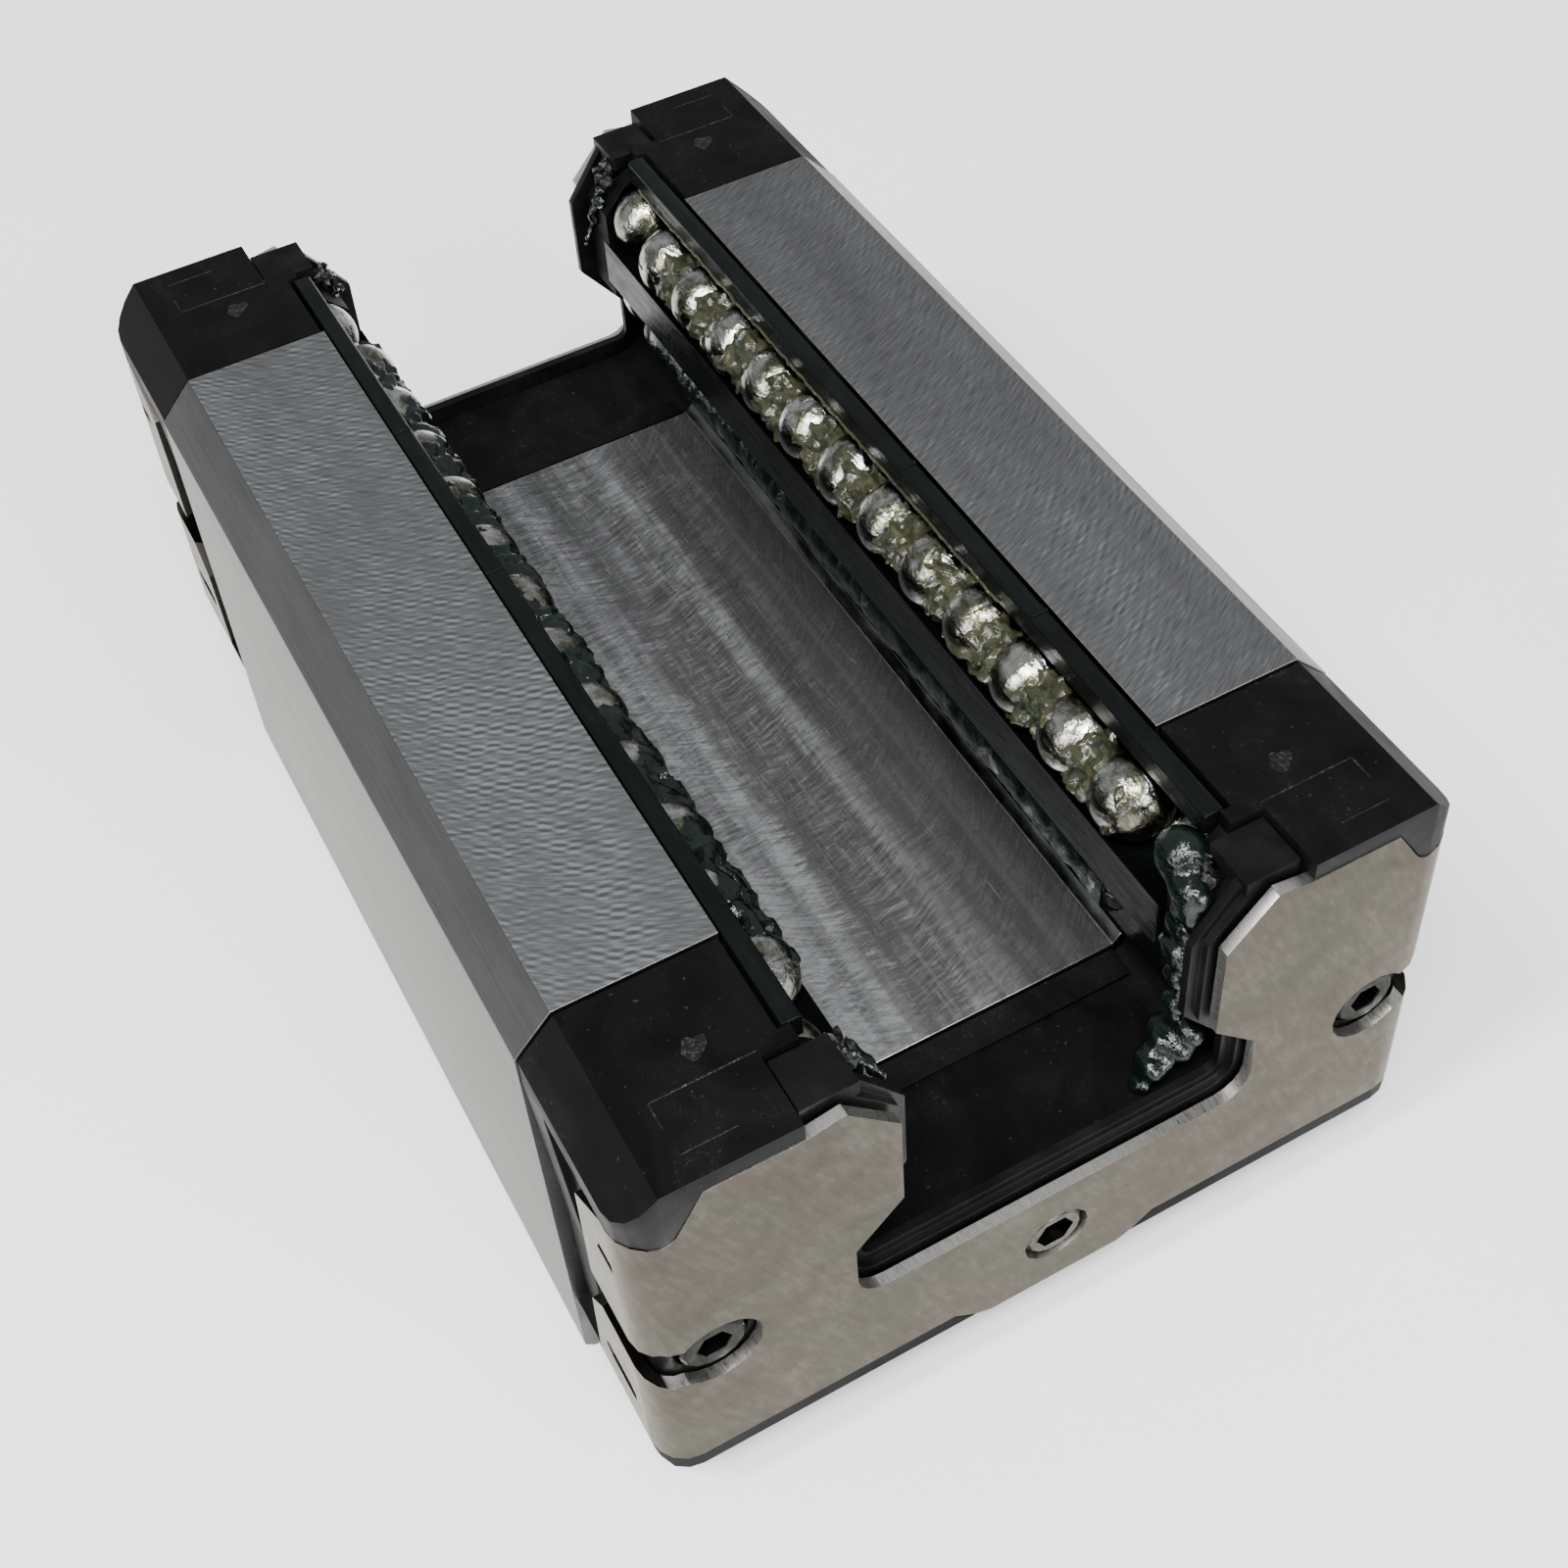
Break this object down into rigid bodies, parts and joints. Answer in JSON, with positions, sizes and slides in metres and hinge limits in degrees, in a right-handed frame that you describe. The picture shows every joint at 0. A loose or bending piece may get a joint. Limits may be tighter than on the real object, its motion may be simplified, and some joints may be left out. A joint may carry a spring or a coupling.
{
  "type": "linear guide carriage",
  "caption": "Narrow linear guide carriage: steel U block with recirculating ball rows in its rail channel, black end caps with turns, end seals and scraper plates.",
  "frame": {"origin": "middle of the mounting face, on the carriage's centre plane both ways", "axes": "+X across the width, +Y along the rail, +Z from the mounting face to the open side of the rail channel"},
  "size_m": [0.07, 0.1124, 0.047],
  "materials": {
    "ground_steel": "milled and ground bearing steel",
    "ball_steel": "polished bearing balls with a film of grease",
    "plate_steel": "rolled stainless sheet, slightly iridescent",
    "cap_plastic": "satin moulded black plastic",
    "retainer_plastic": "black plastic wet with grease",
    "seal_rubber": "moulded black rubber",
    "black_screw": "black oxide",
    "bright_screw": "bright zinc"
  },
  "bodies": {
    "carriage": {"steel_body": "ground_steel", "end_cap_front": "cap_plastic", "end_cap_rear": "cap_plastic", "turn_guide_front_left": "retainer_plastic", "turn_guide_front_right": "retainer_plastic", "turn_guide_rear_left": "retainer_plastic", "turn_guide_rear_right": "retainer_plastic", "edge_strip_left": "retainer_plastic", "edge_strip_right": "retainer_plastic", "centre_retainer_left": "retainer_plastic", "centre_retainer_right": "retainer_plastic", "floor_retainer_left": "retainer_plastic", "floor_retainer_right": "retainer_plastic", "end_seal_front": "seal_rubber", "end_seal_rear": "seal_rubber", "scraper_plate_front": "plate_steel", "scraper_plate_rear": "plate_steel", "cap_screw_front_left": "black_screw", "cap_screw_front_right": "black_screw", "cap_screw_rear_left": "black_screw", "cap_screw_rear_right": "black_screw", "grease_port_screw_front": "bright_screw", "grease_port_screw_rear": "bright_screw"},
    "load_row_outer_left": {"load_balls_outer_left": "ball_steel"},
    "return_row_outer_left": {"return_balls_outer_left": "ball_steel"},
    "turn_pair_outer_front_left": {"turn_balls_outer_front_left": "ball_steel"},
    "turn_pair_outer_rear_left": {"turn_balls_outer_rear_left": "ball_steel"},
    "load_row_outer_right": {"load_balls_outer_right": "ball_steel"},
    "return_row_outer_right": {"return_balls_outer_right": "ball_steel"},
    "turn_pair_outer_front_right": {"turn_balls_outer_front_right": "ball_steel"},
    "turn_pair_outer_rear_right": {"turn_balls_outer_rear_right": "ball_steel"},
    "load_row_inner_left": {"load_balls_inner_left": "ball_steel"},
    "return_row_inner_left": {"return_balls_inner_left": "ball_steel"},
    "turn_pair_inner_front_left": {"turn_balls_inner_front_left": "ball_steel"},
    "turn_pair_inner_rear_left": {"turn_balls_inner_rear_left": "ball_steel"},
    "load_row_inner_right": {"load_balls_inner_right": "ball_steel"},
    "return_row_inner_right": {"return_balls_inner_right": "ball_steel"},
    "turn_pair_inner_front_right": {"turn_balls_inner_front_right": "ball_steel"},
    "turn_pair_inner_rear_right": {"turn_balls_inner_rear_right": "ball_steel"}
  },
  "joints": [
    {"name": "load_row_outer_left_run", "type": "slide", "parent": "carriage", "child": "load_row_outer_left", "axis": [0, 1, 0], "range_m": [-0.00303, 0.00413]},
    {"name": "return_row_outer_left_run", "type": "slide", "parent": "carriage", "child": "return_row_outer_left", "axis": [0, -1, 0], "range_m": [-0.00303, 0.00413]},
    {"name": "turn_pair_outer_front_left_swing", "type": "hinge", "parent": "carriage", "child": "turn_pair_outer_front_left", "pos_m": [-0.0215, -0.0437, 0.0405], "axis": [0, 0, 1], "range_deg": [-35.5, 48.4]},
    {"name": "turn_pair_outer_rear_left_swing", "type": "hinge", "parent": "carriage", "child": "turn_pair_outer_rear_left", "pos_m": [-0.0215, 0.0437, 0.0405], "axis": [0, 0, 1], "range_deg": [-35.5, 48.4]},
    {"name": "load_row_outer_right_run", "type": "slide", "parent": "carriage", "child": "load_row_outer_right", "axis": [0, 1, 0], "range_m": [-0.00303, 0.00413]},
    {"name": "return_row_outer_right_run", "type": "slide", "parent": "carriage", "child": "return_row_outer_right", "axis": [0, -1, 0], "range_m": [-0.00303, 0.00413]},
    {"name": "turn_pair_outer_front_right_swing", "type": "hinge", "parent": "carriage", "child": "turn_pair_outer_front_right", "pos_m": [0.0215, -0.0437, 0.0405], "axis": [0, 0, -1], "range_deg": [-35.5, 48.4]},
    {"name": "turn_pair_outer_rear_right_swing", "type": "hinge", "parent": "carriage", "child": "turn_pair_outer_rear_right", "pos_m": [0.0215, 0.0437, 0.0405], "axis": [0, 0, -1], "range_deg": [-35.5, 48.4]},
    {"name": "load_row_inner_left_run", "type": "slide", "parent": "carriage", "child": "load_row_inner_left", "axis": [0, 1, 0], "range_m": [-0.00303, 0.00413]},
    {"name": "return_row_inner_left_run", "type": "slide", "parent": "carriage", "child": "return_row_inner_left", "axis": [0, -1, 0], "range_m": [-0.00303, 0.00413]},
    {"name": "turn_pair_inner_front_left_swing", "type": "hinge", "parent": "carriage", "child": "turn_pair_inner_front_left", "pos_m": [-0.0215, -0.0437, 0.0317], "axis": [0, 0, 1], "range_deg": [-35.5, 48.4]},
    {"name": "turn_pair_inner_rear_left_swing", "type": "hinge", "parent": "carriage", "child": "turn_pair_inner_rear_left", "pos_m": [-0.0215, 0.0437, 0.0317], "axis": [0, 0, 1], "range_deg": [-35.5, 48.4]},
    {"name": "load_row_inner_right_run", "type": "slide", "parent": "carriage", "child": "load_row_inner_right", "axis": [0, 1, 0], "range_m": [-0.00303, 0.00413]},
    {"name": "return_row_inner_right_run", "type": "slide", "parent": "carriage", "child": "return_row_inner_right", "axis": [0, -1, 0], "range_m": [-0.00303, 0.00413]},
    {"name": "turn_pair_inner_front_right_swing", "type": "hinge", "parent": "carriage", "child": "turn_pair_inner_front_right", "pos_m": [0.0215, -0.0437, 0.0317], "axis": [0, 0, -1], "range_deg": [-35.5, 48.4]},
    {"name": "turn_pair_inner_rear_right_swing", "type": "hinge", "parent": "carriage", "child": "turn_pair_inner_rear_right", "pos_m": [0.0215, 0.0437, 0.0317], "axis": [0, 0, -1], "range_deg": [-35.5, 48.4]}
  ],
  "couplings": [
    {"joint": "return_row_outer_left_run", "follows": "load_row_outer_left_run", "ratio": 1},
    {"joint": "turn_pair_outer_front_left_swing", "follows": "load_row_outer_left_run", "rad_per_m": 204.08},
    {"joint": "turn_pair_outer_rear_left_swing", "follows": "load_row_outer_left_run", "rad_per_m": 204.08},
    {"joint": "return_row_outer_right_run", "follows": "load_row_outer_right_run", "ratio": 1},
    {"joint": "turn_pair_outer_front_right_swing", "follows": "load_row_outer_right_run", "rad_per_m": 204.08},
    {"joint": "turn_pair_outer_rear_right_swing", "follows": "load_row_outer_right_run", "rad_per_m": 204.08},
    {"joint": "return_row_inner_left_run", "follows": "load_row_inner_left_run", "ratio": 1},
    {"joint": "turn_pair_inner_front_left_swing", "follows": "load_row_inner_left_run", "rad_per_m": 204.08},
    {"joint": "turn_pair_inner_rear_left_swing", "follows": "load_row_inner_left_run", "rad_per_m": 204.08},
    {"joint": "return_row_inner_right_run", "follows": "load_row_inner_right_run", "ratio": 1},
    {"joint": "turn_pair_inner_front_right_swing", "follows": "load_row_inner_right_run", "rad_per_m": 204.08},
    {"joint": "turn_pair_inner_rear_right_swing", "follows": "load_row_inner_right_run", "rad_per_m": 204.08}
  ]
}
